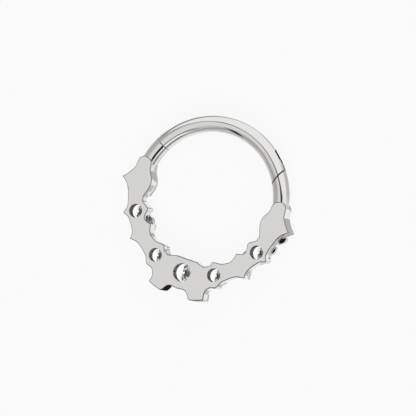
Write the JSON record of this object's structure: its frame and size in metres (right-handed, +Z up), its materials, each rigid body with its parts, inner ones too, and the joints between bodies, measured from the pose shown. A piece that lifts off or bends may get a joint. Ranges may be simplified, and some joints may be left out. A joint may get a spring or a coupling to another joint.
{
  "type": "clicker ring",
  "caption": "Hinged clicker ring: a round wire arch closes on a flat-backed cast garland with claw-set round clear stones, lying on its decorated front.",
  "frame": {"origin": "under the middle of the whole ring's box, on the surface that it lies on", "axes": "+Z up through the hoop, out of the flat back; +Y across the hoop, from the garland to the top of the wire arch; +X to the hinge's side"},
  "size_m": [0.0134, 0.0134, 0.0014],
  "materials": {
    "polished_metal": "mirror polished white gold",
    "pin_metal": "ground and polished white gold",
    "clear_stone": "clear, brilliant cut and polished"
  },
  "bodies": {
    "garland": {"garland": "polished_metal", "centre_stone": "clear_stone", "left_upper_stone": "clear_stone", "right_upper_stone": "clear_stone", "left_lower_stone": "clear_stone", "right_lower_stone": "clear_stone"},
    "arch": {"hinged_arch": "polished_metal", "hinge_pin": "pin_metal"}
  },
  "joints": [
    {"name": "arch_hinge", "type": "hinge", "parent": "garland", "child": "arch", "pos_m": [0.00418, 0.00449, 0.00078], "axis": [0, 0, -1], "range_deg": [0, 80]}
  ]
}
